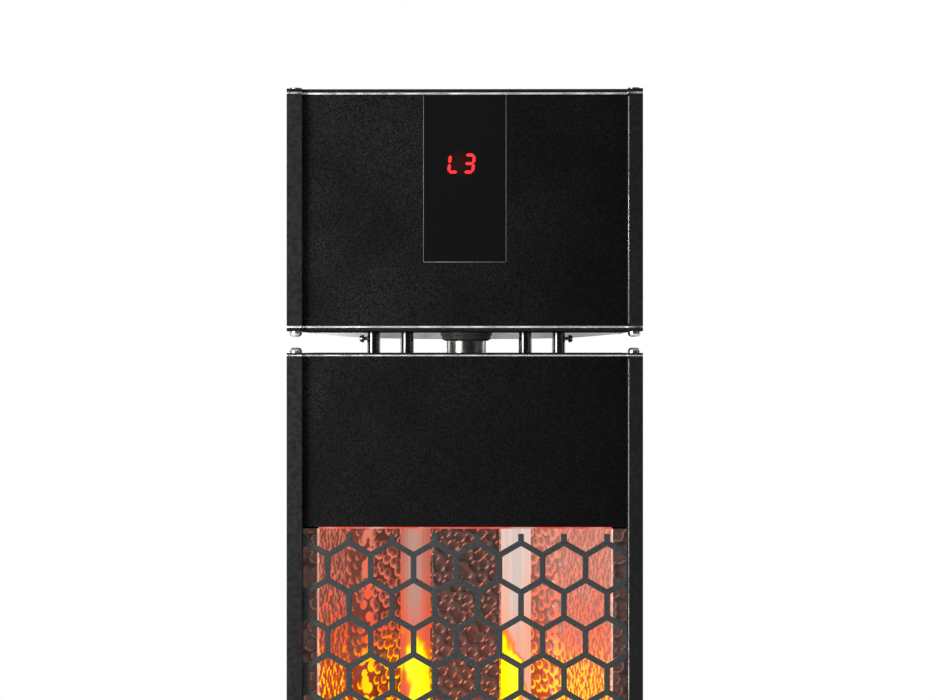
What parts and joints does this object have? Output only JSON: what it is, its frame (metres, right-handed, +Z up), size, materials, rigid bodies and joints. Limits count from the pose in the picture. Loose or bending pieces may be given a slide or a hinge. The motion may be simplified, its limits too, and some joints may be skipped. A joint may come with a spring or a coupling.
{
  "type": "outdoor heater",
  "caption": "Free-standing square tower heater with a raised control head, a hexagonal grille over hammered reflectors and glowing tubes, and a weighted base.",
  "frame": {"origin": "middle of the footprint, on the ground under the rubber feet", "axes": "+Z up, the front with the grille and the display faces -Y, +X to the right of a viewer who faces the front"},
  "size_m": [0.3, 0.3, 1.0012],
  "materials": {
    "powder_black": "fine textured powder coat",
    "post_black": "satin powder coat",
    "base_paint": "fine textured powder coat",
    "bright_trim": "polished",
    "grille_paint": "matt dark grey powder coat",
    "hammered_aluminium": "hammered bright",
    "plain_aluminium": "satin",
    "frosted_quartz": "frosted",
    "ceramic": "unglazed ceramic",
    "element": "glowing carbon coil",
    "rod_black": "gloss black enamel",
    "steel": "brushed",
    "screw_steel": "bright plated",
    "window_black": "gloss",
    "digit_red": "lit red",
    "rubber": "matt",
    "wheel_plastic": "satin moulded",
    "moulded_black": "fine spark-eroded",
    "rocker_black": "gloss",
    "circuit": "circuit board"
  },
  "bodies": {
    "tower": {"base_plate": "base_paint", "rubber_feet": "rubber", "wheel_brackets": "base_paint", "wheel_axles": "steel", "base_screws": "screw_steel", "body_bottom_plate": "powder_black", "body_posts": "post_black", "body_top_trim": "bright_trim", "body_top_plate": "powder_black", "head_bottom_plate": "powder_black", "head_bottom_trim": "bright_trim", "head_posts": "post_black", "head_top_trim": "bright_trim", "head_top_plate": "powder_black", "corner_screws": "screw_steel", "front_top_panel": "powder_black", "front_lower_panel": "powder_black", "side_panel_left": "powder_black", "side_panel_right": "powder_black", "rear_panel": "powder_black", "head_front_panel": "powder_black", "head_left_panel": "powder_black", "head_right_panel": "powder_black", "head_rear_panel": "powder_black", "hex_grille": "grille_paint", "reflector_left": "hammered_aluminium", "reflector_right": "hammered_aluminium", "reflector_center": "hammered_aluminium", "quartz_tube_left": "frosted_quartz", "quartz_tube_right": "frosted_quartz", "ceramic_caps": "ceramic", "heating_elements": "element", "chamber_floor": "plain_aluminium", "chamber_roof": "plain_aluminium", "spindle_brackets": "steel", "spindle_motor": "steel", "flame_led_board": "circuit", "power_board": "circuit", "terminal_block": "moulded_black", "tilt_switch": "moulded_black", "thermal_cutout": "steel", "spacer_rods": "rod_black", "rod_cross_screws": "screw_steel", "conduit_tube": "steel", "conduit_lock_nut": "steel", "conduit_inner_nuts": "steel", "heat_deflector": "plain_aluminium", "display_window": "window_black", "display_digits": "digit_red", "display_board": "circuit", "control_board": "circuit", "rear_handle": "moulded_black", "handle_screws": "screw_steel", "switch_housing": "moulded_black", "cord_gland": "moulded_black", "gland_nut": "moulded_black"},
    "wheel_left": {"wheel_left": "wheel_plastic"},
    "wheel_right": {"wheel_right": "wheel_plastic"},
    "spindle": {"flame_spindle": "plain_aluminium"},
    "rocker": {"switch_rocker": "rocker_black"}
  },
  "joints": [
    {"name": "wheel_left_spin", "type": "hinge", "parent": "tower", "child": "wheel_left", "pos_m": [-0.1395, 0.125, 0.027], "axis": [1, 0, 0], "continuous": true},
    {"name": "wheel_right_spin", "type": "hinge", "parent": "tower", "child": "wheel_right", "pos_m": [0.1395, 0.125, 0.027], "axis": [1, 0, 0], "continuous": true},
    {"name": "spindle_spin", "type": "hinge", "parent": "tower", "child": "spindle", "pos_m": [0, -0.072, 0.16], "axis": [1, 0, 0], "continuous": true},
    {"name": "rocker_tilt", "type": "hinge", "parent": "tower", "child": "rocker", "pos_m": [-0.06, 0.1179, 0.096], "axis": [1, 0, 0], "range_deg": [-8, 8]}
  ]
}
